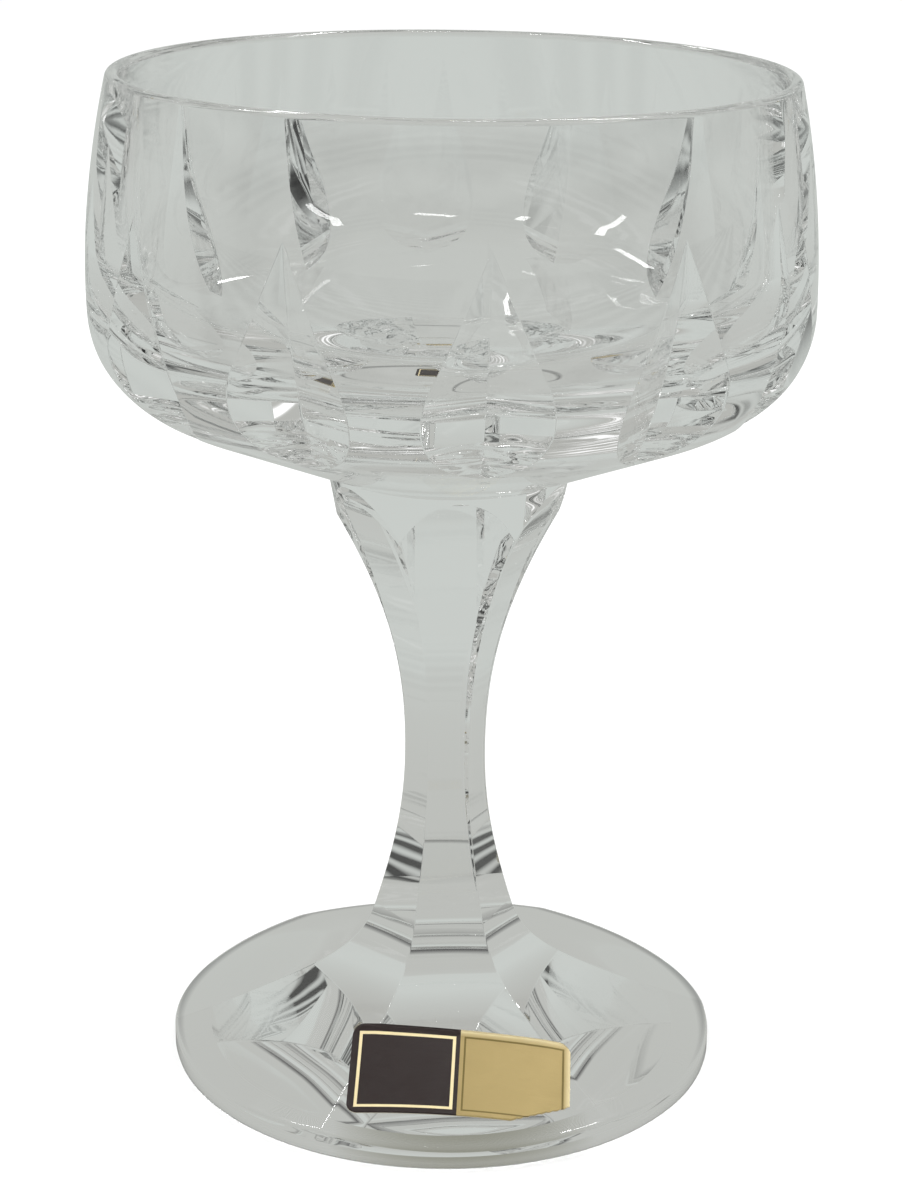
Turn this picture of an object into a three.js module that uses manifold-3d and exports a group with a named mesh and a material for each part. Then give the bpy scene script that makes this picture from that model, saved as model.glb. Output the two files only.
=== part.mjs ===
// Cut-crystal champagne saucer: a heavy shallow bowl with a ring of mitre cuts, a waisted six-sided stem
// and a round foot on which the stem's six facets fade out, with a foil label on the front of the foot.
// Millimetres and degrees, +Z up. The origin is the middle of the underside and the front is -Y.

import * as THREE from "three";
import { mergeVertices, toCreasedNormals } from "three/addons/utils/BufferGeometryUtils.js";
import Module from "manifold-3d";

// Foot: a round disc that rises along a hollow curve to the neck
const FOOT_RADIUS = 36;
const FOOT_HEIGHT = 20;
const FOOT_EDGE = 3.6;
const FOOT_EDGE_ROUNDING = 0.9;
const FOOT_DISC_SLOPE = 20;
const FOOT_DISC_REACH = 23;
const FOOT_RING_WIDTH = 5;
const FOOT_HOLLOW_DEPTH = 0.8;

// Facets: six around, full on the stem and nearly lost at the foot's rim
const FACETS = 6;
const FACET_FADE_START_RADIUS = 12;
const FACET_AT_RIM = 0.3;

// Neck: the ridges' radius and lean where the foot meets the stem
const NECK_RADIUS = 9.1;
const NECK_LEAN = 17;
const NECK_REACH_DOWN = 6.3;
const NECK_REACH_UP = 8.4;

// Stem: radii are those of its ridges, and a round collar clips them under the bowl
const STEM_LENGTH = 60.3;
const STEM_WAIST_RADIUS = 5.3;
const STEM_WAIST_HEIGHT = 22;
const STEM_WAIST_REACH_DOWN = 8;
const STEM_WAIST_REACH_UP = 12;
const STEM_TOP_LEAN = 33;
const STEM_TOP_REACH = 19;
const COLLAR_HEIGHT = 7.5;
const COLLAR_LEAN = 11;
const COLLAR_FACET_SPARE = 0.2;

// Bowl, outside
const JOINT_RADIUS = 15.4;
const BOWL_HEIGHT = 49.7;
const BOWL_RADIUS = 45.05;
const BOWL_WIDEST_DROP = 28;
const SHOULDER_RADIUS = 14;
const WALL_LEAN = 3.05;
const RIM_THICKNESS = 1.8;

// Bowl, inside
const BOWL_DEPTH = 33.8;
const INNER_CORNER_RADIUS = 12;
const INNER_FLOOR_RADIUS = 400;

// Mitre cuts: wide V grooves whose valleys bend from the wall over the shoulder to the cone below it
const MITRES = 12;
const MITRE_ANGLE = 131;
const MITRE_TOP_DROP = 13.5;
const MITRE_TOP_LEAN = 3.7;
const MITRE_TOP_REACH = 9.4;
const MITRE_END_INSET = 8.8;
const MITRE_END_SLOPE = 60;
const MITRE_END_REACH = 10.6;

// Foil label: a rounded panel with one clipped corner
const LABEL_WIDTH = 28;
const LABEL_LENGTH = 13;
const LABEL_CORNER = 1.5;
const LABEL_CLIP_WIDTH = 7.4;
const LABEL_CLIP_LENGTH = 3.2;
const LABEL_INSET = 12;
const LABEL_BEARING = 0;
const LABEL_TURN = -8;
const LABEL_THICKNESS = 0.2;
const LABEL_CLEARANCE = 0.3;

// Fineness of the curves, the least angle that shows as an edge, and how far cutting tools reach past the work
const ROUND_STEPS = 72;
const FADE_STEPS = 48;
const CURVE_STEPS = 10;
const ARC_STEPS = 5;
const EDGE_ANGLE = 13;
const OVERRUN = 4;

const wasm = await Module();
wasm.setup();

const radians = THREE.MathUtils.degToRad;
const HALF_FACET = Math.PI / FACETS;
const STEM_TOP = FOOT_HEIGHT + STEM_LENGTH;
const RIM_TOP = STEM_TOP + BOWL_HEIGHT;

// The point at a distance from another one, where the angle counts from outwards to upwards
function along(from, angle, distance) {
  return new THREE.Vector2(from.x + distance * Math.cos(angle), from.y + distance * Math.sin(angle));
}

// A profile of radii and heights turned about Z, with angle 0 at the front
function turned(profile, steps, start = 0) {
  return new THREE.LatheGeometry(profile, steps, start).rotateX(Math.PI / 2);
}

// A closed surface as a solid, without the empty triangles on the axis
function solid(geometry) {
  const bare = geometry.clone();
  bare.deleteAttribute("normal");
  bare.deleteAttribute("uv");
  const merged = mergeVertices(bare);
  const corners = merged.index.array;
  const triangles = [];
  for (let i = 0; i < corners.length; i += 3) {
    const triangle = Array.from(corners.slice(i, i + 3));
    if (new Set(triangle).size === 3) triangles.push(...triangle);
  }
  const vertProperties = merged.attributes.position.array;
  const triVerts = new Uint32Array(triangles);
  return new wasm.Manifold(new wasm.Mesh({ numProp: 3, vertProperties, triVerts }));
}

// A solid as a surface again, with sharp edges
function surface(body) {
  const mesh = body.getMesh();
  const geometry = new THREE.BufferGeometry();
  geometry.setAttribute("position", new THREE.BufferAttribute(mesh.vertProperties, 3));
  geometry.setIndex(new THREE.BufferAttribute(mesh.triVerts, 1));
  return toCreasedNormals(geometry, radians(EDGE_ANGLE));
}

// A facet's distance from the axis as a share of its ridges', with a facet's middle at the front
function facetShare(angle) {
  const pitch = 2 * HALF_FACET;
  const off = angle - pitch * Math.round(angle / pitch);
  return Math.cos(HALF_FACET) / Math.cos(off);
}

// How flat the facets are where the ridges have this radius: 1 makes a hexagon, 0 a circle
function facetFlatness(ridgeRadius) {
  const fade = THREE.MathUtils.smoothstep(ridgeRadius, FACET_FADE_START_RADIUS, FOOT_RADIUS);
  return 1 - (1 - FACET_AT_RIM) * fade;
}

// The foot's upper form: facets that hollow down from the neck and run out past the rim
function footTrumpet() {
  const neck = new THREE.Vector2(NECK_RADIUS, FOOT_HEIGHT);
  const edge = new THREE.Vector2(FOOT_RADIUS, FOOT_EDGE);
  const slope = radians(FOOT_DISC_SLOPE);
  const past = along(edge, -slope, OVERRUN);
  const disc = along(edge, Math.PI - slope, FOOT_DISC_REACH);
  const lean = along(neck, radians(NECK_LEAN - 90), NECK_REACH_DOWN);
  const profile = new THREE.Path()
    .moveTo(0, -OVERRUN)
    .lineTo(past.x, -OVERRUN)
    .lineTo(past.x, past.y)
    .lineTo(edge.x, edge.y)
    .bezierCurveTo(disc.x, disc.y, lean.x, lean.y, neck.x, neck.y)
    .lineTo(0, neck.y);
  const geometry = turned(profile.getPoints(CURVE_STEPS), FADE_STEPS);
  const place = geometry.attributes.position;
  for (let i = 0; i < place.count; i++) {
    const x = place.getX(i);
    const y = place.getY(i);
    const share = facetShare(Math.atan2(x, -y)) ** facetFlatness(Math.hypot(x, y));
    place.setXY(i, x * share, y * share);
  }
  return solid(geometry);
}

// The foot's round blank, hollowed underneath so that it stands on a ring
function footBlank() {
  const ring = FOOT_RADIUS - FOOT_EDGE_ROUNDING - FOOT_RING_WIDTH;
  const profile = new THREE.Path()
    .moveTo(0, FOOT_HOLLOW_DEPTH)
    .quadraticCurveTo(ring / 2, FOOT_HOLLOW_DEPTH, ring, 0)
    .lineTo(FOOT_RADIUS - FOOT_EDGE_ROUNDING, 0)
    .absarc(FOOT_RADIUS - FOOT_EDGE_ROUNDING, FOOT_EDGE_ROUNDING, FOOT_EDGE_ROUNDING, -Math.PI / 2, 0)
    .lineTo(FOOT_RADIUS, FOOT_HEIGHT + OVERRUN)
    .lineTo(0, FOOT_HEIGHT + OVERRUN);
  return solid(turned(profile.getPoints(ARC_STEPS), ROUND_STEPS));
}

// The stem's hexagon widens upwards until its facets reach the round joint, and the collar clips its ridges
function stemSolid() {
  const neck = new THREE.Vector2(NECK_RADIUS, FOOT_HEIGHT);
  const waist = new THREE.Vector2(STEM_WAIST_RADIUS, FOOT_HEIGHT + STEM_WAIST_HEIGHT);
  const top = new THREE.Vector2((JOINT_RADIUS + COLLAR_FACET_SPARE) / Math.cos(HALF_FACET), STEM_TOP);
  const lean = along(neck, radians(NECK_LEAN + 90), NECK_REACH_UP);
  const flare = along(top, radians(-90 - STEM_TOP_LEAN), STEM_TOP_REACH);
  const profile = new THREE.Path()
    .moveTo(0, neck.y)
    .lineTo(neck.x, neck.y)
    .bezierCurveTo(lean.x, lean.y, waist.x, waist.y - STEM_WAIST_REACH_DOWN, waist.x, waist.y)
    .bezierCurveTo(waist.x, waist.y + STEM_WAIST_REACH_UP, flare.x, flare.y, top.x, top.y)
    .lineTo(0, top.y);
  const hexagon = solid(turned(profile.getPoints(2 * CURVE_STEPS), FACETS, HALF_FACET));
  const collarRadius = JOINT_RADIUS - COLLAR_HEIGHT * Math.tan(radians(COLLAR_LEAN));
  const clear = new THREE.Path()
    .moveTo(0, FOOT_HEIGHT - OVERRUN)
    .lineTo(BOWL_RADIUS, FOOT_HEIGHT - OVERRUN)
    .lineTo(BOWL_RADIUS, STEM_TOP - COLLAR_HEIGHT)
    .lineTo(collarRadius, STEM_TOP - COLLAR_HEIGHT)
    .lineTo(JOINT_RADIUS, STEM_TOP)
    .lineTo(JOINT_RADIUS, STEM_TOP + OVERRUN)
    .lineTo(0, STEM_TOP + OVERRUN);
  return hexagon.intersect(solid(turned(clear.getPoints(), ROUND_STEPS)));
}

// The bowl's outline: a cone up from the joint, a round shoulder, a barrelled wall and a round rim
const rimRadius = BOWL_RADIUS - WALL_LEAN;
const rimHalf = RIM_THICKNESS / 2;
const rimCentre = new THREE.Vector2(rimRadius - rimHalf, RIM_TOP - rimHalf);
const shoulder = new THREE.Vector2(BOWL_RADIUS - SHOULDER_RADIUS, RIM_TOP - BOWL_WIDEST_DROP);
const joint = new THREE.Vector2(JOINT_RADIUS, STEM_TOP);
const toShoulder = shoulder.clone().sub(joint);
const coneAngle = toShoulder.angle() - Math.asin(SHOULDER_RADIUS / toShoulder.length());
const wallRise = rimCentre.y - shoulder.y;
const wallRadius = (wallRise ** 2 + WALL_LEAN ** 2) / (2 * WALL_LEAN);

function bowlBlank() {
  const inner = rimRadius - RIM_THICKNESS;
  const cornerCentre = inner - INNER_CORNER_RADIUS;
  const floorCentre = RIM_TOP - BOWL_DEPTH + INNER_FLOOR_RADIUS;
  const floorAngle = Math.asin(cornerCentre / (INNER_FLOOR_RADIUS - INNER_CORNER_RADIUS));
  const cornerHeight = floorCentre - (INNER_FLOOR_RADIUS - INNER_CORNER_RADIUS) * Math.cos(floorAngle);
  const down = -Math.PI / 2;
  const profile = new THREE.Path()
    .moveTo(0, joint.y)
    .lineTo(joint.x, joint.y)
    .absarc(shoulder.x, shoulder.y, SHOULDER_RADIUS, coneAngle + down, 0)
    .absarc(BOWL_RADIUS - wallRadius, shoulder.y, wallRadius, 0, Math.asin(wallRise / wallRadius))
    .absarc(rimCentre.x, rimCentre.y, rimHalf, 0, Math.PI)
    .absarc(cornerCentre, cornerHeight, INNER_CORNER_RADIUS, 0, down + floorAngle, true)
    .absarc(0, floorCentre, INNER_FLOOR_RADIUS, down + floorAngle, down, true);
  return solid(turned(profile.getPoints(ARC_STEPS), ROUND_STEPS));
}

// One V-shaped tool, its edge along the valley of the front cut and opening outwards
function mitreTool() {
  const topHeight = RIM_TOP - MITRE_TOP_DROP;
  const topRise = topHeight - shoulder.y;
  const topRadius = BOWL_RADIUS - wallRadius + Math.sqrt(wallRadius ** 2 - topRise ** 2);
  const top = new THREE.Vector2(topRadius, topHeight);
  const endRadius = BOWL_RADIUS - MITRE_END_INSET;
  const endRise = (endRadius - joint.x) * Math.tan(coneAngle);
  const end = new THREE.Vector2(endRadius, joint.y + endRise);
  const topDown = radians(-90 - MITRE_TOP_LEAN);
  const endUp = radians(MITRE_END_SLOPE);
  const above = along(top, topDown, -OVERRUN);
  const topBend = along(top, topDown, MITRE_TOP_REACH);
  const endBend = along(end, endUp, MITRE_END_REACH);
  const below = along(end, endUp, -OVERRUN);
  const clear = BOWL_RADIUS + OVERRUN;
  const outside = new THREE.Shape()
    .moveTo(above.x, above.y)
    .lineTo(top.x, top.y)
    .bezierCurveTo(topBend.x, topBend.y, endBend.x, endBend.y, end.x, end.y)
    .lineTo(below.x, below.y)
    .lineTo(clear, below.y)
    .lineTo(clear, above.y)
    .closePath();
  const spread = BOWL_RADIUS * Math.sin(Math.PI / MITRES);
  const bothSides = { depth: 2 * spread, steps: 2, bevelEnabled: false, curveSegments: CURVE_STEPS };
  const geometry = new THREE.ExtrudeGeometry(outside, bothSides).translate(0, 0, -spread);
  const place = geometry.attributes.position;
  for (let i = 0; i < place.count; i++) {
    const opening = Math.abs(place.getZ(i)) / Math.tan(radians(MITRE_ANGLE / 2));
    place.setX(i, place.getX(i) + opening);
  }
  return geometry.rotateX(Math.PI / 2).rotateZ(-Math.PI / 2);
}

function bowlSolid() {
  const tool = mitreTool();
  let body = bowlBlank();
  for (let i = 0; i < MITRES; i++) {
    body = body.subtract(solid(tool.clone().rotateZ((2 * Math.PI * i) / MITRES)));
  }
  return body;
}

// The label's outline, seen from above with its top edge towards the stem
function labelOutline() {
  const right = LABEL_WIDTH / 2;
  const top = LABEL_LENGTH / 2;
  const corner = LABEL_CORNER;
  return new THREE.Shape()
    .moveTo(-right + corner, -top)
    .lineTo(right - LABEL_CLIP_WIDTH, -top)
    .lineTo(right, -top + LABEL_CLIP_LENGTH)
    .lineTo(right, top - corner)
    .absarc(right - corner, top - corner, corner, 0, Math.PI / 2)
    .lineTo(-right + corner, top)
    .absarc(-right + corner, top - corner, corner, Math.PI / 2, Math.PI)
    .lineTo(-right, -top + corner)
    .absarc(-right + corner, -top + corner, corner, Math.PI, 1.5 * Math.PI);
}

// The label is a sheet that follows the foot's upper form
function labelSolid(trumpet) {
  const upright = { depth: FOOT_HEIGHT, bevelEnabled: false, curveSegments: ARC_STEPS };
  const prism = new THREE.ExtrudeGeometry(labelOutline(), upright);
  prism.rotateZ(radians(LABEL_TURN));
  prism.translate(0, LABEL_INSET - FOOT_RADIUS, 0);
  prism.rotateZ(radians(LABEL_BEARING));
  const under = trumpet.translate([0, 0, LABEL_CLEARANCE]);
  const over = trumpet.translate([0, 0, LABEL_CLEARANCE + LABEL_THICKNESS]);
  return solid(prism).intersect(over).subtract(under);
}

function piece(name, body, finish) {
  const mesh = new THREE.Mesh(surface(body), new THREE.MeshStandardMaterial(finish));
  mesh.name = name;
  return mesh;
}

const crystal = { color: 0xe4ecec, roughness: 0.02, metalness: 0, transparent: true, opacity: 0.35 };
const goldFoil = { color: 0xb8954a, roughness: 0.35, metalness: 0.8 };
const trumpet = footTrumpet();

const glass = new THREE.Group();
glass.add(
  piece("bowl", bowlSolid(), crystal),
  piece("stem", stemSolid(), crystal),
  piece("foot", trumpet.intersect(footBlank()), crystal),
  piece("foil_label", labelSolid(trumpet), goldFoil),
);

export default glass;
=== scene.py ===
"""Cut-crystal champagne saucer: the looks of the bowl, the stem, the foot and the foil label.

Sizes are millimetres and degrees, as in the CAD source, and become metres when a mesh is made.
Angles round the axis count from the front, -Y, towards +X.
"""

import bpy
import numpy as np
from mathutils import Matrix, Vector


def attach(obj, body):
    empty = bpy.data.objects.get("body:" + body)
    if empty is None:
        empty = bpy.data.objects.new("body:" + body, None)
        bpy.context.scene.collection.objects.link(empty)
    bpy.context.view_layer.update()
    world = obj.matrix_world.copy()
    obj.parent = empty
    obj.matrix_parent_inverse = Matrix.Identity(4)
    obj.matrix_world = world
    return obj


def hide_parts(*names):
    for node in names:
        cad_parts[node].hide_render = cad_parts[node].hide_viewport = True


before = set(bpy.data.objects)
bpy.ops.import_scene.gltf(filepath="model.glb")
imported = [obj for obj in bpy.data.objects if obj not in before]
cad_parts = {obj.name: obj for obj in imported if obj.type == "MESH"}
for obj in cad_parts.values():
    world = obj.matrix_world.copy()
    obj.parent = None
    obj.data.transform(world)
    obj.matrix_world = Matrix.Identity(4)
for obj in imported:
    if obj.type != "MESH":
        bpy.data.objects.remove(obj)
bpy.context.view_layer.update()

MM = 0.001

# Foot, as in the CAD source
FOOT_RADIUS = 36
FOOT_HEIGHT = 20
FOOT_EDGE = 3.6
FOOT_EDGE_ROUNDING = 0.9
FOOT_DISC_SLOPE = 20
FOOT_DISC_REACH = 23
FOOT_RING_WIDTH = 5
FOOT_HOLLOW_DEPTH = 0.8

# Facets of the stem and the foot
FACETS = 6
FACET_FADE_START_RADIUS = 12
FACET_AT_RIM = 0.3

# Neck
NECK_RADIUS = 9.1
NECK_LEAN = 17
NECK_REACH_DOWN = 6.3
NECK_REACH_UP = 8.4

# Stem
STEM_TOP = 80.3
STEM_WAIST_RADIUS = 5.3
STEM_WAIST_HEIGHT = 42
STEM_WAIST_REACH_DOWN = 8
STEM_WAIST_REACH_UP = 12
STEM_TOP_LEAN = 33
STEM_TOP_REACH = 19
COLLAR_LEAN = 11
COLLAR_FACET_SPARE = 0.2

# Bowl
JOINT_RADIUS = 15.4
RIM_TOP = 130
BOWL_RADIUS = 45.05
BOWL_WIDEST_HEIGHT = 102
SHOULDER_RADIUS = 14
WALL_LEAN = 3.05
RIM_THICKNESS = 1.8
BOWL_FLOOR_HEIGHT = 96.2
INNER_CORNER_RADIUS = 12
INNER_FLOOR_RADIUS = 400

# Mitre cuts
MITRES = 12
MITRE_ANGLE = 131
MITRE_TOP_HEIGHT = 116.5
MITRE_TOP_LEAN = 3.7
MITRE_TOP_REACH = 9.4
MITRE_END_RADIUS = 36.25
MITRE_END_SLOPE = 60
MITRE_END_REACH = 10.6

# Only in this scene: rounded edges, and how far the foot's slope is carried past its rim
FOOT_TOP_ROUNDING = 0.6
FOOT_PAST_RIM = 4
COLLAR_LEAST = 0.05
COLLAR_EDGE_BELOW = 0.1
COLLAR_EDGE_ABOVE = 0.02
MITRE_EDGE_ROUNDING = 0.1

# Foil label, as in the CAD source but thinner, nearer the rim, and a little loose at its edges
LABEL_WIDTH = 28
LABEL_LENGTH = 13
LABEL_CORNER = 1.5
LABEL_CLIP_WIDTH = 7.4
LABEL_CLIP_LENGTH = 3.2
LABEL_INSET = 11.4
LABEL_TURN = -8
LABEL_STIFFNESS = 0.85
LABEL_THICKNESS = 0.08
LABEL_CLEARANCE = 0.06
LABEL_LIFT = 0.2
LABEL_LIFT_WIDTH = 1.6
LABEL_TEAR_ROUGHNESS = 0.07
LABEL_TEAR_WAVES = 7
LABEL_TEAR_START = 8

# The label's print: where its dark half ends, and the rules that frame both halves
PRINT_SPLIT = -0.14
DARK_RULE = 0.4
DARK_RULE_INSET = 0.9
DARK_RULE_INSET_AT_SPLIT = 0.55
GOLD_RULE = 0.24
GOLD_RULE_INSET = 0.8
GOLD_RULE_INSET_AT_SPLIT = 0.5

# Fineness: columns round the axis, as cuts and lands share them, and the rows or steps of each part
COLUMNS = 288
CUT_COLUMNS = 5
LAND_COLUMNS = COLUMNS // MITRES - 2 * CUT_COLUMNS
ROW_STEP = 0.55
CURVE_STEPS = 200
RIM_STEPS = 16
INNER_WALL_STEPS = 20
FACET_ROWS = 110
FACET_ROW_CROWDING = 1.3
COLLAR_ROWS = 12
FOOT_HOLLOW_ROWS = 40
FOOT_RING_STEPS = 8
FOOT_SIDE_STEPS = 6
FOOT_ROUND_STEPS = 9
LABEL_ROWS = 40
LABEL_COLUMNS = 90
LABEL_CORNER_COLUMNS = 9

# How a cut's columns draw together past its ends: rows near an end, spread, and least width in radians
CUT_END_ROWS = (0.02, 0.06, 0.14, 0.28)
CUT_END_SPREAD = 0.6
CUT_LEAST_WIDTH = 0.0004

# Camera, solved from the photograph
CAMERA_AZIMUTH = -5.6
CAMERA_DISTANCE = 322.7
CAMERA_HEIGHT = 171.1
CAMERA_PITCH = 18.62
CAMERA_YAW = -0.1
CAMERA_ROLL = 0.8
CAMERA_SENSOR = 36
CAMERA_LENS = 79.3

# Crystal: its index, and its waves. Depths are millimetres, and scales count per metre
CRYSTAL_INDEX = 1.545
WAVE_SCALE = 60
WAVE_DETAIL = 1
BOWL_WAVE_DEPTH = 0.03
STEM_WAVE_DEPTH = 0.08

# Wheel marks in the cuts, below this height
RIPPLE_TOP = 94
RIPPLE_DEPTH = 0.9
RIPPLE_SCALE = (200, 200, 800)

# Uneven grinding at the back of the stem, above this height and this far from its middle
GRIND_LOW = 54
GRIND_FADE = 6
GRIND_ASIDE = 4
GRIND_DEPTH = 1.1
GRIND_SCALE = 240

# Fineness of both kinds of marks
MARK_DETAIL = 0.5

# The label's colours, linear, and its wear; the pale gold is both a printed rule and a painted sheen on the
# gold half's margins
BROWN = (0.018, 0.009, 0.008)
GOLD = (0.37, 0.28, 0.115)
PALE_GOLD_RULE_AND_SHEEN = (0.8, 0.68, 0.4)
OLIVE = (0.155, 0.114, 0.032)
PAPER = (0.62, 0.58, 0.48)
PAPER_ROUGHNESS = 0.6
FOIL_METALLIC = 0.35
FOIL_SPECULAR = 0.3
FOIL_ROUGHNESS = 0.2
WEAR_ROUGHNESS = 0.3
WEAR_SCALE = 9
WEAR_DETAIL = 6
CREASE_STRENGTH = 0.6
CREASE_DEPTH = 0.2

# Studio, in linear colours. The camera sees floor and room as plain white
FLOOR_RADIUS = 6
FLOOR_SIDES = 96
FLOOR_WHITE = (0.95, 0.95, 0.95)
ROOM_WHITE = (1.05, 1.05, 1.05)
DIM_GREY = (0.02, 0.02, 0.02)

# The table that the glass shows in place of the floor, with its shades, in metres
TABLE_GREY = (0.5, 0.51, 0.485)
TABLE_REACH = 0.5
TABLE_DIM_START = 0.15
TABLE_DIM_FADE = 0.1
TABLE_DIM_PERIOD = 0.15
SHADE_GREY = (0.1, 0.1, 0.1)
SHADE_RADIUS = 0.0359
SHADE_WIDTH = 0.002
LABEL_SHADE_GREY = (0.24, 0.24, 0.19)
LABEL_SHADE_CENTRE = (0, -0.027)
LABEL_SHADE_SIZE = (0.016, 0.009)

# The room that the glass shows: wall, ceiling, dim sides and glow above, by parts of a unit direction
WALL_GREY = (0.585, 0.615, 0.59)
CEILING_GREY = (0.46, 0.465, 0.44)
CEILING_START = 0.3
CEILING_FADE = 0.4
DIM_START = 0.22
DIM_LOW = 0.02
DIM_HIGH = 0.7
DIM_FADE = 0.12
DIM_PERIOD = 0.12
GLOW_WHITE = (1.2, 1.2, 1.2)
GLOW_START = 0.7
GLOW_ASIDE = 0.3
GLOW_PERIOD = 0.06
GLOW_SHARPNESS = 4
STREAK_MIDDLE = 0.7
STREAK_SWING = 0.6
STREAK_WOBBLE = 0.08
STREAK_WOBBLE_SCALE = 5
STREAK_WOBBLE_DETAIL = 2

# Lamps: bearings from the front and elevations of the ends of each strip, as the bowl's back sees them
LAMP_DISTANCE = 0.9
LAMP_CENTRE = (0, 0.034, 0.104)
LAMP_RADIANCE = 20
STRIP_WIDTH = 0.03
STRIPS = {
    "right_beam": ((79, 54), (108, 67)),
    "right_beam_far": ((108, 67), (157, 60)),
    "left_beam": ((-102, 49), (-122, 60)),
    "left_beam_far": ((-122, 60), (-149, 60)),
    "left_back": ((-168, 45), (-174, 38)),
    "overhead": ((120, 82), (176, 82)),
    "overhead_left": ((-118, 76), (-138, 76)),
}
SEEN_THROUGH = ("left_back",)


# Curves of radius and height

def along(start, angle, distance):
    """The point at a distance from another, where the angle counts from outwards to upwards."""
    turn = np.radians(angle)
    return np.array(start) + distance * np.array([np.cos(turn), np.sin(turn)])


def bezier(points, share):
    """Points of a cubic curve at these shares of its way."""
    a, b, c, d = (np.array(p, float) for p in points)
    t = np.asarray(share)[:, None]
    return a * (1 - t) ** 3 + 3 * b * t * (1 - t) ** 2 + 3 * c * t ** 2 * (1 - t) + d * t ** 3


def arc(centre, radius, start, end):
    """Points of an arc, about ROW_STEP apart, and their directions from its centre. Angles in radians."""
    count = max(4, int(abs(end - start) * radius / ROW_STEP))
    turn = np.linspace(start, end, count)
    outwards = np.stack([np.cos(turn), np.sin(turn)], axis=1)
    return np.array(centre) + radius * outwards, outwards


def around(radius, angle, height):
    """Places at these radii, angles and heights."""
    radius, angle, height = np.broadcast_arrays(radius, angle, height)
    return np.stack([radius * np.sin(angle), -radius * np.cos(angle), height], axis=-1)


def even_angles():
    """Columns evenly round the axis, with none on the front, so that ridges and valleys lie between two."""
    return (np.arange(COLUMNS) + 0.5) * 2 * np.pi / COLUMNS


# Meshes

def normals_of(places):
    """Unit normals of a sheet of rows and columns, each from its neighbours in the sheet."""
    along_rows = np.gradient(places, axis=0)
    along_columns = np.gradient(places, axis=1)
    normal = np.cross(along_columns, along_rows)
    return normal / np.linalg.norm(normal, axis=-1, keepdims=True)


def turned_piece(name, places, normals, materials, seams, cuts=None):
    """A closed piece from rows of places round the axis. Rows run upwards on the outside.

    seams says for the first and last row if the end is a joint, which gets the second material, and
    cuts says which faces get the third one.
    """
    rows, columns = places.shape[:2]
    ends = [places[0].mean(axis=0), places[-1].mean(axis=0)]
    points = np.vstack([places.reshape(-1, 3), ends])
    end_normals = [normals[0].mean(axis=0), normals[-1].mean(axis=0)]
    directions = np.vstack([normals.reshape(-1, 3), end_normals])
    index = np.arange(rows * columns).reshape(rows, columns)
    nextwards = np.roll(index, -1, axis=1)
    quads = np.stack([index[:-1], nextwards[:-1], nextwards[1:], index[1:]], axis=-1).reshape(-1, 4)
    first, last = rows * columns, rows * columns + 1
    low_fan = [(first, b, a) for a, b in zip(index[0], nextwards[0])]
    high_fan = [(last, a, b) for a, b in zip(index[-1], nextwards[-1])]
    mesh = bpy.data.meshes.new(name)
    mesh.from_pydata((points * MM).tolist(), [], quads.tolist() + low_fan + high_fan)
    mesh.shade_smooth()
    sides = [0] * len(quads) if cuts is None else (2 * cuts.ravel()).tolist()
    slots = sides + [int(seams[0])] * len(low_fan) + [int(seams[1])] * len(high_fan)
    mesh.polygons.foreach_set("material_index", slots)
    for material in materials:
        mesh.materials.append(material)
    lengths = np.linalg.norm(directions, axis=1, keepdims=True)
    mesh.normals_split_custom_set_from_vertices(directions / lengths)
    piece = bpy.data.objects.new(name, mesh)
    bpy.context.scene.collection.objects.link(piece)
    return piece


# Bowl

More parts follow.
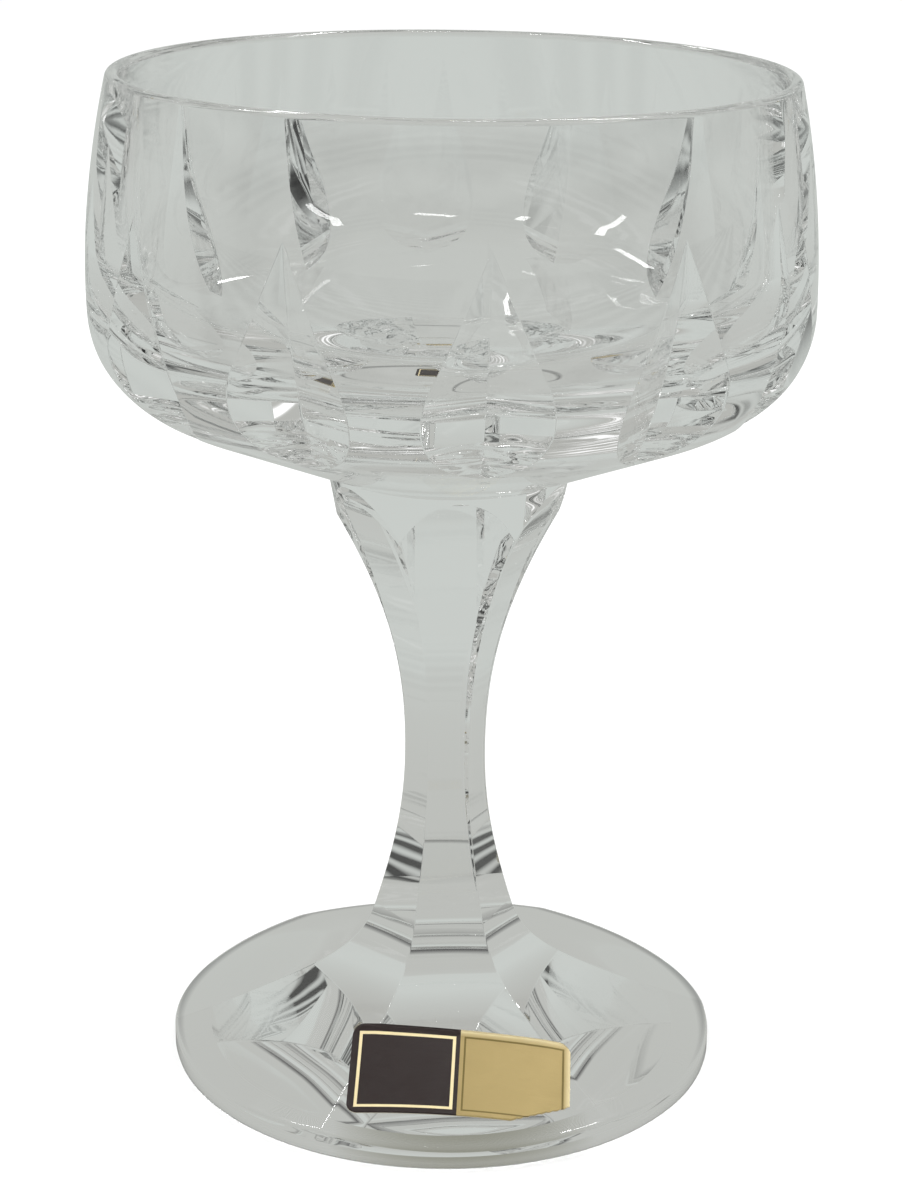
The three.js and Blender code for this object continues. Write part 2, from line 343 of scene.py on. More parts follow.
def bowl_outline():
    """Outer and inner rows of the bowl as radius, height, and the outward normal in the same terms."""
    rim_half = RIM_THICKNESS / 2
    joint = np.array([JOINT_RADIUS, STEM_TOP])
    shoulder = np.array([BOWL_RADIUS - SHOULDER_RADIUS, BOWL_WIDEST_HEIGHT])
    reach = np.hypot(*(shoulder - joint))
    cone = np.arctan2(*(shoulder - joint)[::-1]) - np.arcsin(SHOULDER_RADIUS / reach)
    rise = RIM_TOP - rim_half - BOWL_WIDEST_HEIGHT
    wall_radius = (rise ** 2 + WALL_LEAN ** 2) / (2 * WALL_LEAN)
    wall_end = np.arcsin(rise / (wall_radius - rim_half))
    wall_centre = np.array([BOWL_RADIUS - wall_radius, BOWL_WIDEST_HEIGHT])
    rim_centre = wall_centre + (wall_radius - rim_half) * np.array([np.cos(wall_end), np.sin(wall_end)])
    inner = rim_centre[0] - rim_half
    corner_radius = inner - INNER_CORNER_RADIUS
    floor_centre = BOWL_FLOOR_HEIGHT + INNER_FLOOR_RADIUS
    floor_end = np.arcsin(corner_radius / (INNER_FLOOR_RADIUS - INNER_CORNER_RADIUS))
    corner_height = floor_centre - (INNER_FLOOR_RADIUS - INNER_CORNER_RADIUS) * np.cos(floor_end)

    tangent = shoulder + SHOULDER_RADIUS * np.array([np.sin(cone), -np.cos(cone)])
    steps = int(np.hypot(*(tangent - joint)) / ROW_STEP)
    cone_rows = joint + (tangent - joint) * np.linspace(0, 1, steps)[:-1, None]
    cone_normals = np.tile([np.sin(cone), -np.cos(cone)], (len(cone_rows), 1))
    shoulder_rows, shoulder_normals = arc(shoulder, SHOULDER_RADIUS, cone - np.pi / 2, 0)
    wall_rows, wall_normals = arc(wall_centre, wall_radius, 0, wall_end)
    outer = np.vstack([cone_rows, shoulder_rows[:-1], wall_rows])
    outer_normals = np.vstack([cone_normals, shoulder_normals[:-1], wall_normals])

    turn = np.linspace(wall_end, np.pi, RIM_STEPS)[1:]
    rim_normals = np.stack([np.cos(turn), np.sin(turn)], axis=1)
    rim_rows = rim_centre + rim_half * rim_normals
    floor_turn = floor_end - np.pi / 2
    corner_rows, corner_out = arc((corner_radius, corner_height), INNER_CORNER_RADIUS, 0, floor_turn)
    floor_rows, floor_out = arc((0, floor_centre), INNER_FLOOR_RADIUS, floor_turn, -np.pi / 2)
    drop = np.linspace(rim_rows[-1, 1], corner_height, INNER_WALL_STEPS)[1:-1]
    wall_in = np.stack([np.full(len(drop), inner), drop], axis=1)
    wall_in_normals = np.tile([-1.0, 0.0], (len(drop), 1))
    inside = np.vstack([rim_rows, wall_in, corner_rows, floor_rows[1:-1]])
    inside_normals = np.vstack([rim_normals, wall_in_normals, -corner_out, -floor_out[1:-1]])
    return outer, outer_normals, inside, inside_normals, cone


def mitre_valley(outer, cone):
    """The valley of a cut as radius and height, from its end on the cone up to its top on the wall."""
    end = (MITRE_END_RADIUS, STEM_TOP + (MITRE_END_RADIUS - JOINT_RADIUS) * np.tan(cone))
    top = (np.interp(MITRE_TOP_HEIGHT, outer[:, 1], outer[:, 0]), MITRE_TOP_HEIGHT)
    curve = [end, along(end, MITRE_END_SLOPE, MITRE_END_REACH),
             along(top, -90 - MITRE_TOP_LEAN, MITRE_TOP_REACH), top]
    return bezier(curve, np.linspace(0, 1, CURVE_STEPS))


def mitre_rows(outer, outer_normals, cone):
    """The outside of the bowl with its cuts, as places and normals in rows of one height each."""
    valley_line = mitre_valley(outer, cone)
    low, high = valley_line[0, 1], valley_line[-1, 1]
    half = np.radians(MITRE_ANGLE / 2)
    valley_lean = np.gradient(valley_line[:, 0], valley_line[:, 1])

    close = np.array(CUT_END_ROWS)
    extra = np.concatenate([low + close, low - close, [low], high + close, high - close, [high]])
    heights = np.unique(np.concatenate([outer[:, 1], extra]))
    radii = np.interp(heights, outer[:, 1], outer[:, 0])
    slopes = np.stack([np.interp(heights, outer[:, 1], n) for n in outer_normals.T], axis=1)
    slopes /= np.linalg.norm(slopes, axis=1, keepdims=True)

    pitch = 2 * np.pi / MITRES
    even = even_angles()[:COLUMNS // MITRES]
    cut_share = even[CUT_COLUMNS - 1] + even[0]
    places, normals = [], []
    for height, radius, slope in zip(heights, radii, slopes):
        valley = np.interp(height, valley_line[:, 1], valley_line[:, 0])
        inside = low < height < high and valley < radius
        if inside:
            width = half - np.arcsin(valley / radius * np.sin(half))
        else:
            away = min(abs(height - low), abs(height - high)) / radius
            width = min(cut_share / 2, CUT_END_SPREAD * away)
        width = max(width, CUT_LEAST_WIDTH)
        rounding = min(MITRE_EDGE_ROUNDING / radius, width / 4)
        share = np.linspace(rounding / width, 1 - rounding / width, CUT_COLUMNS)
        land = np.linspace(width + rounding, pitch - width - rounding, LAND_COLUMNS)
        if inside:
            out = valley + share * (radius * np.cos(width) - valley)
            sideways = share * radius * np.sin(width)
        else:
            out = radius * np.cos(share * width)
            sideways = radius * np.sin(share * width)
        cut_radius = np.hypot(out, sideways)
        cut_angle = np.arctan2(sideways, out)
        angles = np.concatenate([cut_angle, land, pitch - cut_angle[::-1]])
        distances = np.concatenate([cut_radius, np.full(LAND_COLUMNS, radius), cut_radius[::-1]])
        lean = np.interp(height, valley_line[:, 1], valley_lean)
        row_places, row_normals = [], []
        for k in range(MITRES):
            row_places.append(around(distances, angles + k * pitch, height))
            direction = around(slope[0], angles + k * pitch, slope[1])
            if inside:
                for side, columns in ((1, slice(0, CUT_COLUMNS)), (-1, slice(-CUT_COLUMNS, None))):
                    middle = k * pitch + (0 if side == 1 else pitch)
                    outward = around(1, middle, -lean)
                    across = np.array([np.cos(middle), np.sin(middle), 0])
                    facing = outward - side * across / np.tan(half)
                    direction[columns] = facing / np.linalg.norm(facing)
            row_normals.append(direction)
        places.append(np.vstack(row_places))
        normals.append(np.vstack(row_normals))
    return np.array(places), np.array(normals)


def cut_faces(places, outside_rows, low):
    """1 for the faces that lie in a cut and 0 for the others. Cuts start at the height low."""
    rows, columns = places.shape[0] - 1, places.shape[1]
    column = np.arange(columns) % (columns // MITRES)
    in_cut = (column < CUT_COLUMNS - 1) | (column >= columns // MITRES - CUT_COLUMNS)
    heights = places[:-1, 0, 2]
    on_outside = np.arange(rows) < outside_rows - 1
    in_reach = (heights >= low) & (heights < MITRE_TOP_HEIGHT)
    return np.outer(on_outside & in_reach, in_cut).astype(int)


def make_bowl(crystal, seam, cut_crystal):
    outer, outer_normals, inside, inside_normals, cone = bowl_outline()
    places, normals = mitre_rows(outer, outer_normals, cone)
    angles = even_angles()
    inner_places = around(inside[:, :1], angles, inside[:, 1:])
    inner_normals = around(inside_normals[:, :1], angles, inside_normals[:, 1:])
    all_places = np.concatenate([places, inner_places])
    all_normals = np.concatenate([normals, inner_normals])
    cuts = cut_faces(all_places, len(places), mitre_valley(outer, cone)[0, 1])
    materials = [crystal, seam, cut_crystal]
    return turned_piece("bowl_crystal", all_places, all_normals, materials, (True, False), cuts)


# Stem and foot

def facet_share(angle):
    """A facet's distance from the axis as a share of its ridges'."""
    pitch = 2 * np.pi / FACETS
    off = angle - pitch * np.round(angle / pitch)
    return np.cos(pitch / 2) / np.cos(off)


def facet_flatness(ridge_radius):
    """1 where the facets are flat, falling towards the foot's rim."""
    fade = np.clip((ridge_radius - FACET_FADE_START_RADIUS) / (FOOT_RADIUS - FACET_FADE_START_RADIUS), 0, 1)
    return 1 - (1 - FACET_AT_RIM) * fade * fade * (3 - 2 * fade)


def by_facets(places):
    """Normals of rows that are smooth within a facet and break at the ridges between two."""
    pitch = COLUMNS // FACETS
    shifted = np.roll(places, pitch // 2, axis=1)
    parts = np.split(shifted, FACETS, axis=1)
    return np.roll(np.concatenate([normals_of(part) for part in parts], axis=1), -(pitch // 2), axis=1)


def stem_ridges():
    """The ridges' radius and height from the neck to the top."""
    neck = (NECK_RADIUS, FOOT_HEIGHT)
    waist = (STEM_WAIST_RADIUS, STEM_WAIST_HEIGHT)
    top = ((JOINT_RADIUS + COLLAR_FACET_SPARE) / np.cos(np.pi / FACETS), STEM_TOP)
    low = [neck, along(neck, 90 + NECK_LEAN, NECK_REACH_UP),
           along(waist, -90, STEM_WAIST_REACH_DOWN), waist]
    high = [waist, along(waist, 90, STEM_WAIST_REACH_UP),
            along(top, -90 - STEM_TOP_LEAN, STEM_TOP_REACH), top]
    share = np.linspace(0, 1, CURVE_STEPS)
    return np.vstack([bezier(low, share)[:-1], bezier(high, share)])


def make_stem(crystal, seam):
    ridge = stem_ridges()
    angles = even_angles()
    shares = facet_share(angles)
    collar = JOINT_RADIUS - (STEM_TOP - ridge[:, 1]) * np.tan(np.radians(COLLAR_LEAN))
    meets = []
    for share in shares:
        over = share * ridge[:, 0] - collar
        low = np.nonzero(over[:-1] < 0)[0][-1]
        climb = ridge[low + 1, 1] - ridge[low, 1]
        meets.append(ridge[low, 1] - over[low] * climb / (over[low + 1] - over[low]))
    meets = np.minimum(np.array(meets), STEM_TOP - COLLAR_LEAST)
    rise = np.linspace(0, 1, FACET_ROWS)[:, None]
    facet_heights = FOOT_HEIGHT + rise * (meets - COLLAR_EDGE_BELOW - FOOT_HEIGHT)
    facet_radii = shares * np.interp(facet_heights, ridge[:, 1], ridge[:, 0])
    rise = np.linspace(0, 1, COLLAR_ROWS)[:, None]
    collar_heights = meets + COLLAR_EDGE_ABOVE + rise * (STEM_TOP - meets - COLLAR_EDGE_ABOVE)
    collar_radii = JOINT_RADIUS - (STEM_TOP - collar_heights) * np.tan(np.radians(COLLAR_LEAN))
    facet_places = around(facet_radii, angles, facet_heights)
    collar_places = around(collar_radii, angles, collar_heights)
    lean = np.radians(COLLAR_LEAN)
    collar_normals = around(np.cos(lean), angles + 0 * collar_heights, -np.sin(lean))
    places = np.concatenate([facet_places, collar_places])
    normals = np.concatenate([by_facets(facet_places), collar_normals])
    return turned_piece("stem_crystal", places, normals, [crystal, seam], (True, True))


def foot_ridges():
    """The foot's ridges from past the rim up to the neck."""
    neck = (NECK_RADIUS, FOOT_HEIGHT)
    edge = (FOOT_RADIUS, FOOT_EDGE)
    curve = [edge, along(edge, 180 - FOOT_DISC_SLOPE, FOOT_DISC_REACH),
             along(neck, NECK_LEAN - 90, NECK_REACH_DOWN), neck]
    past = along(edge, -FOOT_DISC_SLOPE, FOOT_PAST_RIM)
    return np.vstack([past, bezier(curve, np.linspace(0, 1, CURVE_STEPS))])


def foot_height(x, y, front_only=False):
    """Heights of the foot's upper side at these places, or of the front facet carried past its ridges."""
    ridge = foot_ridges()
    flatness = facet_flatness(ridge[:, 0])
    heights = np.empty(x.shape)
    for index in np.ndindex(x.shape):
        angle = np.arctan2(x[index], -y[index])
        share = np.cos(np.pi / FACETS) / np.cos(angle) if front_only else facet_share(angle)
        reached = ridge[:, 0] * share ** flatness
        heights[index] = np.interp(np.hypot(x[index], y[index]), reached[::-1], ridge[::-1, 1])
    return heights


def make_foot(crystal, seam):
    angles = even_angles()
    share = np.linspace(0, 1, FACET_ROWS)[:, None] ** FACET_ROW_CROWDING
    edge = FOOT_RADIUS - FOOT_TOP_ROUNDING
    radii = edge + share * (NECK_RADIUS * facet_share(angles) - edge)
    heights = foot_height(radii * np.sin(angles), -radii * np.cos(angles))
    rim_heights = foot_height(FOOT_RADIUS * np.sin(angles), -FOOT_RADIUS * np.cos(angles))
    heights[-1] = FOOT_HEIGHT
    upper = around(radii, angles, heights)

    rounding = FOOT_TOP_ROUNDING
    turn = np.linspace(0, 1, FOOT_ROUND_STEPS)[:-1, None]
    round_radii = FOOT_RADIUS - rounding * turn ** 2
    drop = rim_heights - rounding
    slope = heights[0] - rim_heights
    round_heights = (1 - turn) ** 2 * drop + 2 * turn * (1 - turn) * rim_heights
    round_heights += turn ** 2 * (rim_heights + slope)
    upper_round = around(round_radii, angles, round_heights)

    low = FOOT_EDGE_ROUNDING
    quarter, _ = arc((FOOT_RADIUS - low, low), low, -np.pi / 2, 0)
    ring = FOOT_RADIUS - low - FOOT_RING_WIDTH
    hollow = np.linspace(0.01, 1, FOOT_HOLLOW_ROWS)
    flat = np.linspace(ring, FOOT_RADIUS - low, FOOT_RING_STEPS)[1:-1]
    under_radii = np.concatenate([ring * hollow, flat, quarter[:, 0]])
    under_heights = np.concatenate([FOOT_HOLLOW_DEPTH * (1 - hollow ** 2), 0 * flat, quarter[:, 1]])
    under = around(under_radii[:, None], angles, under_heights[:, None])
    climb = np.linspace(0, 1, FOOT_SIDE_STEPS)[1:-1, None, None]
    side = under[-1] + climb * (upper_round[0] - under[-1])
    places = np.concatenate([under, side, upper_round, upper])
    return turned_piece("foot_crystal", places, by_facets(places), [crystal, seam], (False, True))


# Foil label

def label_edges(across):
    """The label's lower and upper edge at these places across its width."""
    half_width, half_length = LABEL_WIDTH / 2, LABEL_LENGTH / 2
    past = np.maximum(0, np.abs(across) - (half_width - LABEL_CORNER))
    rounding = LABEL_CORNER - np.sqrt(LABEL_CORNER ** 2 - past ** 2)
    torn = np.maximum(0, across - (half_width - LABEL_CLIP_WIDTH)) / LABEL_CLIP_WIDTH
    roughness = LABEL_TEAR_ROUGHNESS * np.minimum(1, LABEL_TEAR_START * torn)
    tear = LABEL_CLIP_LENGTH * torn + roughness * np.sin(LABEL_TEAR_WAVES * across)
    low = np.where(across < 0, rounding, tear) - half_length
    return low, half_length - rounding


def label_sheet():
    """Places across and up the label, in rows from its lower to its upper edge."""
    half_width = LABEL_WIDTH / 2
    turn = np.linspace(0, np.pi / 2, LABEL_CORNER_COLUMNS)
    quarter = half_width - LABEL_CORNER * (1 - np.sin(turn))
    middle = np.linspace(-quarter[0], quarter[0], LABEL_COLUMNS)[1:-1]
    across = np.concatenate([-quarter[::-1], middle, quarter])
    low, high = label_edges(across)
    share = np.linspace(0, 1, LABEL_ROWS)[:, None]
    return np.broadcast_to(across, (LABEL_ROWS, len(across))), low + share * (high - low)


def label_side(across, up, height):
    """Places over the foot for one side of the label."""
    turn = np.radians(LABEL_TURN)
    x = across * np.cos(turn) - up * np.sin(turn)
    y = across * np.sin(turn) + up * np.cos(turn) + LABEL_INSET - FOOT_RADIUS
    glass = foot_height(x, y)
    bridge = LABEL_STIFFNESS * (foot_height(x, y, front_only=True) - glass)
    return np.stack([x, y, glass + bridge + height], axis=-1)


def make_label(print_side, paper_side):
    across, up = label_sheet()
    to_edge = np.minimum(LABEL_WIDTH / 2 - across, LABEL_LENGTH / 2 - up)
    lift = LABEL_LIFT * np.clip(1 - to_edge / LABEL_LIFT_WIDTH, 0, 1) ** 2
    lower = label_side(across, up, LABEL_CLEARANCE + lift)
    upper = lower + np.array([0, 0, LABEL_THICKNESS])
    count = across.size
    index = np.arange(count).reshape(across.shape)
    quads = np.stack([index[:-1, :-1], index[:-1, 1:], index[1:, 1:], index[1:, :-1]], axis=-1)
    quads = quads.reshape(-1, 4)
    border = np.concatenate([index[0, :-1], index[:-1, -1], index[-1, :0:-1], index[:0:-1, 0]])
    following = np.roll(border, -1)
    rim = np.stack([border + count, following + count, following, border], axis=-1)
    mesh = bpy.data.meshes.new("foil_sheet")
    places = np.vstack([upper.reshape(-1, 3), lower.reshape(-1, 3)])
    mesh.from_pydata((places * MM).tolist(), [], np.vstack([quads, quads[:, ::-1] + count, rim]).tolist())
    mesh.polygons.foreach_set("use_smooth", [True] * (2 * len(quads)) + [False] * len(rim))
    mesh.polygons.foreach_set("material_index", [0] * len(quads) + [1] * (len(quads) + len(rim)))
    mesh.materials.append(print_side)
    mesh.materials.append(paper_side)
    flat = np.stack([across / LABEL_WIDTH + 0.5, up / LABEL_LENGTH + 0.5], axis=-1).reshape(-1, 2)
    corners = np.empty(len(mesh.loops), int)
    mesh.loops.foreach_get("vertex_index", corners)
    mesh.uv_layers.new(name="flat").data.foreach_set("uv", flat[corners % count].ravel())
    piece = bpy.data.objects.new("foil_sheet", mesh)
    bpy.context.scene.collection.objects.link(piece)
    return piece


# Materials

def new_material(name):
    material = bpy.data.materials.new(name)
    material.use_nodes = True
    return material, material.node_tree.nodes, material.node_tree.links


def number_nodes(nodes, links):
    """A function that adds a Math node on numbers or sockets and returns its output."""
    def compute(operation, *values, clamp=False):
        node = nodes.new("ShaderNodeMath")
        node.operation = operation
        node.use_clamp = clamp
        for socket, value in zip(node.inputs, values):
            if isinstance(value, bpy.types.NodeSocket):
                links.new(value, socket)
            else:
                socket.default_value = value
        return node.outputs[0]
    return compute


def ramp(compute, value, start, width):
    """From 0 at the start to 1 a width further on, where a negative width goes downwards."""
    return compute("DIVIDE", compute("SUBTRACT", value, start), width, clamp=True)


def axes_of(nodes, links, place):
    """The three coordinates of a place."""
    axes = nodes.new("ShaderNodeSeparateXYZ")
    links.new(place, axes.inputs[0])
    return axes.outputs


def noise(nodes, links, place, scale, detail):
    """The value of a noise texture at a place."""
    texture = nodes.new("ShaderNodeTexNoise")
    texture.inputs["Scale"].default_value = scale
    texture.inputs["Detail"].default_value = detail
    links.new(place, texture.inputs["Vector"])
    return texture.outputs["Fac"]


def crystal_material(name, wave, ripple=0, grind=0):
    """Clear lead crystal, a little wavy, with wheel marks and uneven grinding of these depths."""
    material, nodes, links = new_material(name)
    compute = number_nodes(nodes, links)
    shader = nodes["Principled BSDF"]
    shader.inputs["Base Color"].default_value = (1, 1, 1, 1)
    shader.inputs["Roughness"].default_value = 0
    shader.inputs["IOR"].default_value = CRYSTAL_INDEX
    shader.inputs["Transmission Weight"].default_value = 1
    place = nodes.new("ShaderNodeTexCoord").outputs["Object"]
    x, y, z = axes_of(nodes, links, place)
    relief = compute("MULTIPLY", noise(nodes, links, place, WAVE_SCALE, WAVE_DETAIL), wave)
    if grind:
        high = ramp(compute, z, GRIND_LOW * MM, GRIND_FADE * MM)
        beside = ramp(compute, compute("ABSOLUTE", x), GRIND_ASIDE * MM, MM)
        behind = ramp(compute, y, 0, MM)
        where = compute("MULTIPLY", high, compute("MULTIPLY", behind, beside))
        marks = noise(nodes, links, place, GRIND_SCALE, MARK_DETAIL)
        relief = compute("ADD", relief, compute("MULTIPLY", compute("MULTIPLY", marks, where), grind))
    if ripple:
        stretch = nodes.new("ShaderNodeMapping")
        stretch.inputs["Scale"].default_value = RIPPLE_SCALE
        links.new(place, stretch.inputs["Vector"])
        marks = noise(nodes, links, stretch.outputs["Vector"], 1, MARK_DETAIL)
        where = ramp(compute, z, RIPPLE_TOP * MM, -MM)
        relief = compute("ADD", relief, compute("MULTIPLY", compute("MULTIPLY", marks, where), ripple))
    bump = nodes.new("ShaderNodeBump")
    bump.inputs["Distance"].default_value = MM
    links.new(relief, bump.inputs["Height"])
    links.new(bump.outputs["Normal"], shader.inputs["Normal"])
    return material


def seam_material():
    """The hot joint between two gathers of glass, which light passes as if nothing were there."""
    material, nodes, links = new_material("hot_joint")
    clear = nodes.new("ShaderNodeBsdfTransparent")
    links.new(clear.outputs["BSDF"], nodes["Material Output"].inputs["Surface"])
    nodes.remove(nodes["Principled BSDF"])
    return material


def frame_mask(compute, across, up, box, thickness):
    """1 on a rule of this thickness along the inside of a box, given as left, right, bottom and top."""
    left, right, bottom, top = box
    beside = compute("ABSOLUTE", compute("SUBTRACT", across, (left + right) / 2))
    above = compute("ABSOLUTE", compute("SUBTRACT", up, (bottom + top) / 2))
    past_side = compute("SUBTRACT", beside, (right - left) / 2)
    past_end = compute("SUBTRACT", above, (top - bottom) / 2)
    out = compute("MAXIMUM", past_side, past_end)
    return compute("LESS_THAN", compute("ABSOLUTE", compute("ADD", out, thickness / 2)), thickness / 2)


def blend(nodes, links, factor, first, second):
    """A colour between two, which are colours or sockets."""
    node = nodes.new("ShaderNodeMix")
    node.data_type = "RGBA"
    links.new(factor, node.inputs["Factor"])
    for socket, value in ((node.inputs["A"], first), (node.inputs["B"], second)):
        if isinstance(value, bpy.types.NodeSocket):
            links.new(value, socket)
        else:
            socket.default_value = (*value, 1)
    return node.outputs["Result"]


def print_material():
    """Printed foil: a dark half and a gold half, each framed by a rule, a little creased."""
    material, nodes, links = new_material("printed_foil")
    compute = number_nodes(nodes, links)
    shader = nodes["Principled BSDF"]
    flat = nodes.new("ShaderNodeTexCoord").outputs["UV"]
    u, v, _ = axes_of(nodes, links, flat)
    across = compute("MULTIPLY", compute("SUBTRACT", u, 0.5), LABEL_WIDTH)
    up = compute("MULTIPLY", compute("SUBTRACT", v, 0.5), LABEL_LENGTH)
    side, end = LABEL_WIDTH / 2, LABEL_LENGTH / 2
    dark_box = (DARK_RULE_INSET - side, PRINT_SPLIT - DARK_RULE_INSET_AT_SPLIT,
                DARK_RULE_INSET - end, end - DARK_RULE_INSET)
    gold_box = (PRINT_SPLIT + GOLD_RULE_INSET_AT_SPLIT, side - GOLD_RULE_INSET,
                GOLD_RULE_INSET - end, end - GOLD_RULE_INSET)
    dark_rule = frame_mask(compute, across, up, dark_box, DARK_RULE)
    gold_rule = frame_mask(compute, across, up, gold_box, GOLD_RULE)
    gold_half = compute("GREATER_THAN", across, PRINT_SPLIT)

    # Painted sheen: the gold half pales towards its top and right margins.
    past_top = compute("SUBTRACT", up, gold_box[3])
    past_side = compute("SUBTRACT", across, gold_box[1])
    painted_sheen = ramp(compute, compute("MAXIMUM", past_top, past_side), 0, GOLD_RULE_INSET)
    gold = blend(nodes, links, painted_sheen, GOLD, PALE_GOLD_RULE_AND_SHEEN)
    gold = blend(nodes, links, gold_rule, gold, OLIVE)
    dark = blend(nodes, links, dark_rule, BROWN, PALE_GOLD_RULE_AND_SHEEN)
    colour = blend(nodes, links, gold_half, dark, gold)
    links.new(colour, shader.inputs["Base Color"])
    foil = compute("MAXIMUM", gold_half, dark_rule)
    links.new(compute("MULTIPLY", foil, FOIL_METALLIC), shader.inputs["Metallic"])

    wear = noise(nodes, links, flat, WEAR_SCALE, WEAR_DETAIL)
    roughness = compute("ADD", compute("MULTIPLY", wear, WEAR_ROUGHNESS), FOIL_ROUGHNESS)
    links.new(roughness, shader.inputs["Roughness"])
    shader.inputs["Specular IOR Level"].default_value = FOIL_SPECULAR
    bump = nodes.new("ShaderNodeBump")
    bump.inputs["Strength"].default_value = CREASE_STRENGTH
    bump.inputs["Distance"].default_value = CREASE_DEPTH * MM
    links.new(wear, bump.inputs["Height"])
    links.new(bump.outputs["Normal"], shader.inputs["Normal"])
    return material


def paper_material():
    """The label's glued back, and its cut edge."""
    material, nodes, links = new_material("label_back")
    shader = nodes["Principled BSDF"]
    shader.inputs["Base Color"].default_value = (*PAPER, 1)
    shader.inputs["Roughness"].default_value = PAPER_ROUGHNESS
    return material


# Stage

def streaks(compute, value, period):
    """Soft stripes of this period along a value, between 0.1 and 1."""
    wave = compute("SINE", compute("MULTIPLY", value, 2 * np.pi / period))
    return compute("ADD", compute("MULTIPLY", wave, STREAK_SWING), STREAK_MIDDLE, clamp=True)


def make_floor():
    """A white floor, which the glass shows as a grey table, shaded under the foot's edge and the label."""
    bpy.ops.mesh.primitive_circle_add(vertices=FLOOR_SIDES, radius=FLOOR_RADIUS, fill_type="NGON")
    floor = bpy.context.object
    floor.name = "floor"
    material, nodes, links = new_material("floor")
    nodes.remove(nodes["Principled BSDF"])
    compute = number_nodes(nodes, links)
    place = nodes.new("ShaderNodeNewGeometry").outputs["Position"]
    axes = axes_of(nodes, links, place)
    length = nodes.new("ShaderNodeVectorMath")
    length.operation = "LENGTH"
    links.new(place, length.inputs[0])
    distance = length.outputs["Value"]
    table = blend(nodes, links, ramp(compute, distance, 0, TABLE_REACH), TABLE_GREY, WALL_GREY)

    offsets = []
    for axis, centre, size in zip("XY", LABEL_SHADE_CENTRE, LABEL_SHADE_SIZE):
        offset = compute("DIVIDE", compute("SUBTRACT", axes[axis], centre), size)
        offsets.append(compute("MULTIPLY", offset, offset))
    under_label = compute("SUBTRACT", 1, compute("ADD", *offsets), clamp=True)
    table = blend(nodes, links, under_label, table, LABEL_SHADE_GREY)
    off_edge = compute("ABSOLUTE", compute("SUBTRACT", distance, SHADE_RADIUS))
    under_edge = compute("SUBTRACT", 1, compute("DIVIDE", off_edge, SHADE_WIDTH), clamp=True)
    table = blend(nodes, links, under_edge, table, SHADE_GREY)
    beside = ramp(compute, compute("ABSOLUTE", axes["X"]), TABLE_DIM_START, TABLE_DIM_FADE)
    towards = ramp(compute, axes["Y"], 0, -TABLE_DIM_FADE)
    dim = compute("MULTIPLY", beside, streaks(compute, axes["Y"], TABLE_DIM_PERIOD))
    table = blend(nodes, links, compute("MULTIPLY", dim, towards), table, DIM_GREY)

    grey = nodes.new("ShaderNodeEmission")
    links.new(table, grey.inputs["Color"])
    white = nodes.new("ShaderNodeBsdfDiffuse")
    white.inputs["Color"].default_value = (*FLOOR_WHITE, 1)
    path = nodes.new("ShaderNodeLightPath")
    mix = nodes.new("ShaderNodeMixShader")
    links.new(path.outputs["Is Camera Ray"], mix.inputs["Fac"])
    links.new(grey.outputs["Emission"], mix.inputs[1])
    links.new(white.outputs["BSDF"], mix.inputs[2])
    links.new(mix.outputs["Shader"], nodes["Material Output"].inputs["Surface"])
    floor.data.materials.append(material)


def make_world():
    """A white room. The glass shows it as a pale wall at the back, +Y, and dim at the sides and in front."""
    world = bpy.data.worlds.new("studio")
    world.use_nodes = True
    bpy.context.scene.world = world
    nodes, links = world.node_tree.nodes, world.node_tree.links
    compute = number_nodes(nodes, links)
    place = nodes.new("ShaderNodeTexCoord").outputs["Generated"]
    aside, ahead, up = axes_of(nodes, links, place)
    wobble = noise(nodes, links, place, STREAK_WOBBLE_SCALE, STREAK_WOBBLE_DETAIL)
    level = compute("ADD", up, compute("MULTIPLY", wobble, STREAK_WOBBLE))
    ceiling = ramp(compute, up, CEILING_START, CEILING_FADE)
    wall = blend(nodes, links, ceiling, WALL_GREY, CEILING_GREY)

    above = ramp(compute, up, DIM_LOW, DIM_FADE)
    below = ramp(compute, up, DIM_HIGH, -DIM_FADE)
    dim = compute("MULTIPLY", ramp(compute, ahead, DIM_START, -DIM_FADE), streaks(compute, level, DIM_PERIOD))
    dim = compute("MULTIPLY", dim, compute("MULTIPLY", above, below))
    wall = blend(nodes, links, dim, wall, DIM_GREY)

    high = ramp(compute, up, GLOW_START, DIM_FADE)
    wide = ramp(compute, compute("ABSOLUTE", aside), GLOW_ASIDE, DIM_FADE)
    stripes = compute("POWER", streaks(compute, level, GLOW_PERIOD), GLOW_SHARPNESS)
    glow = compute("MULTIPLY", compute("MULTIPLY", high, wide), stripes)
    wall = blend(nodes, links, glow, wall, GLOW_WHITE)
    path = nodes.new("ShaderNodeLightPath")
    plain = compute("MAXIMUM", path.outputs["Is Camera Ray"], path.outputs["Is Diffuse Ray"])
    links.new(blend(nodes, links, plain, wall, ROOM_WHITE), nodes["Background"].inputs["Color"])


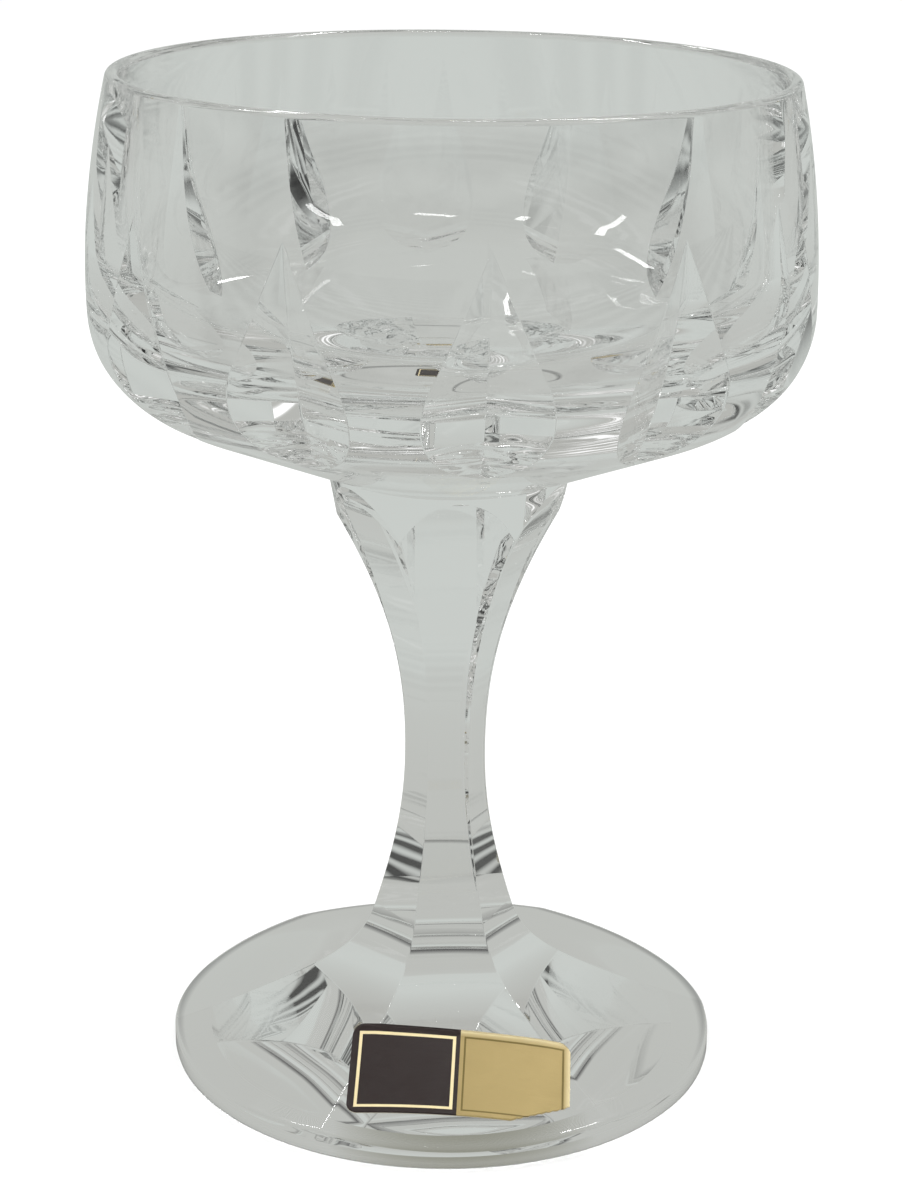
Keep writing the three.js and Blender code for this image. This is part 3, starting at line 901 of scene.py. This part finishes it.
def make_strip(name, start, end, through):
    """A strip lamp between two directions, each a bearing and an elevation.

    through says if the glass shows it by what passes through as well as by what it mirrors.
    """
    ends = []
    for bearing, elevation in (start, end):
        reach = np.cos(np.radians(elevation))
        ends.append(Vector(around(reach, np.radians(bearing), np.sin(np.radians(elevation)))))
    first, second = (Vector(LAMP_CENTRE) + LAMP_DISTANCE * direction for direction in ends)
    middle = (first + second) / 2
    length = (second - first).length
    along_strip = (second - first).normalized()
    away = middle - Vector(LAMP_CENTRE)
    away = (away - away.dot(along_strip) * along_strip).normalized()
    data = bpy.data.lights.new(name, "AREA")
    data.shape = "RECTANGLE"
    data.size, data.size_y = STRIP_WIDTH, length
    data.energy = LAMP_RADIANCE * np.pi * STRIP_WIDTH * length
    light = bpy.data.objects.new(name, data)
    bpy.context.scene.collection.objects.link(light)
    turn = Matrix((along_strip.cross(away), along_strip, away)).transposed()
    light.matrix_world = Matrix.Translation(middle) @ turn.to_4x4()
    light.visible_camera = False
    light.visible_transmission = through


def make_camera():
    data = bpy.data.cameras.new("camera")
    data.sensor_width = CAMERA_SENSOR
    data.lens = CAMERA_LENS
    data.clip_start = 0.01
    data.clip_end = 50
    camera = bpy.data.objects.new("camera", data)
    bpy.context.scene.collection.objects.link(camera)
    bearing = np.radians(CAMERA_AZIMUTH)
    place = around(CAMERA_DISTANCE, bearing, CAMERA_HEIGHT) * MM
    turn = Matrix.Rotation(bearing + np.radians(CAMERA_YAW), 4, "Z")
    tilt = Matrix.Rotation(np.radians(90 - CAMERA_PITCH), 4, "X")
    roll = Matrix.Rotation(np.radians(CAMERA_ROLL), 4, "Z")
    camera.matrix_world = Matrix.Translation(place) @ turn @ tilt @ roll
    bpy.context.scene.camera = camera


def set_render():
    scene = bpy.context.scene
    scene.view_settings.view_transform = "Standard"
    scene.cycles.max_bounces = 32
    scene.cycles.glossy_bounces = 24
    scene.cycles.transmission_bounces = 32
    scene.cycles.transparent_max_bounces = 24
    scene.cycles.use_denoising = True


make_camera()
set_render()
make_floor()
make_world()
for name, (start, end) in STRIPS.items():
    make_strip(name, start, end, name in SEEN_THROUGH)

bowl_crystal = crystal_material("bowl_crystal", BOWL_WAVE_DEPTH)
cut_crystal = crystal_material("cut_crystal", BOWL_WAVE_DEPTH, RIPPLE_DEPTH)
stem_crystal = crystal_material("stem_crystal", STEM_WAVE_DEPTH, grind=GRIND_DEPTH)
seam = seam_material()
for piece, node in ((make_bowl(bowl_crystal, seam, cut_crystal), "bowl"),
                    (make_stem(stem_crystal, seam), "stem"),
                    (make_foot(stem_crystal, seam), "foot")):
    piece.visible_shadow = False
    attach(piece, "root")
    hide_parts(node)

label = make_label(print_material(), paper_material())
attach(label, "root")
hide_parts("foil_label")
